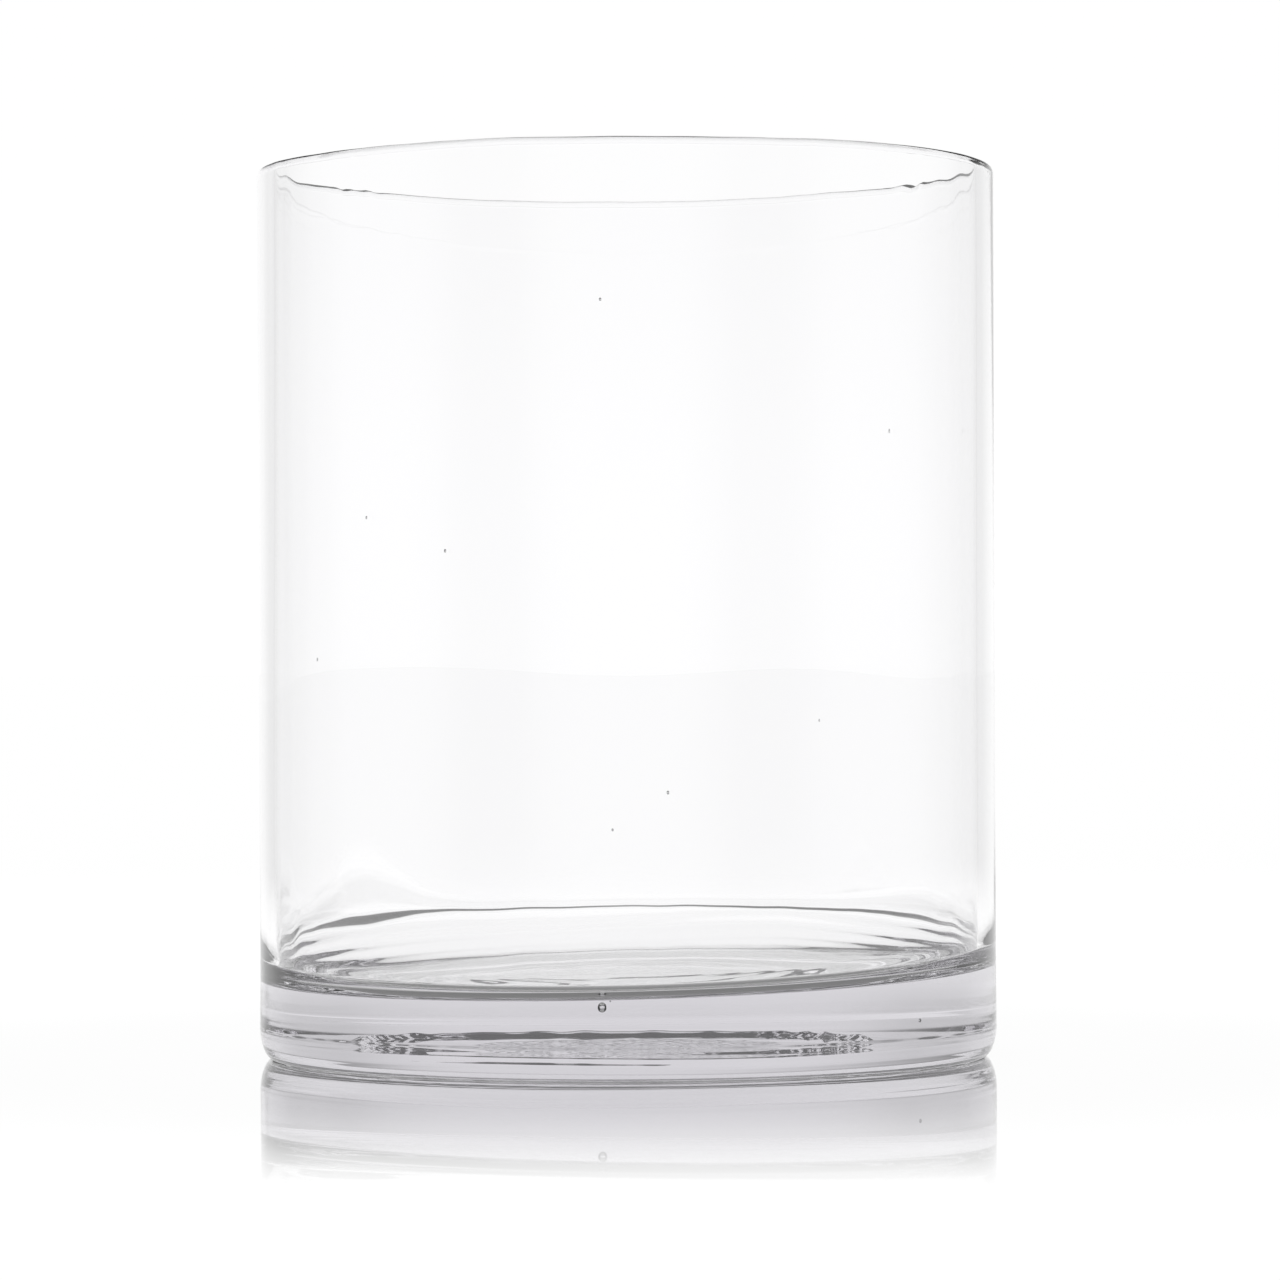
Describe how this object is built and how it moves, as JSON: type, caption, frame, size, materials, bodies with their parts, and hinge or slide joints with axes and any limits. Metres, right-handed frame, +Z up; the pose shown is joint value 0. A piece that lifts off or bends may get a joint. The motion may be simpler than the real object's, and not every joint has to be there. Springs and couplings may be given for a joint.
{
  "type": "cylinder vase",
  "caption": "Straight-sided clear glass cylinder vase, open at the top, with a thick solid base and a shallow hollow under the foot.",
  "frame": {"origin": "centre of the foot ring, on the surface that the vase stands on", "axes": "+Z up along the axis of the cylinder, out of the mouth; -Y faces the viewer of the front view, +X to the viewer's right"},
  "size_m": [0.2, 0.2, 0.241],
  "materials": {
    "clear_glass": "clear polished blown glass with a faint lavender-grey tint"
  },
  "bodies": {
    "root": {"vase_body": "clear_glass"}
  },
  "joints": []
}
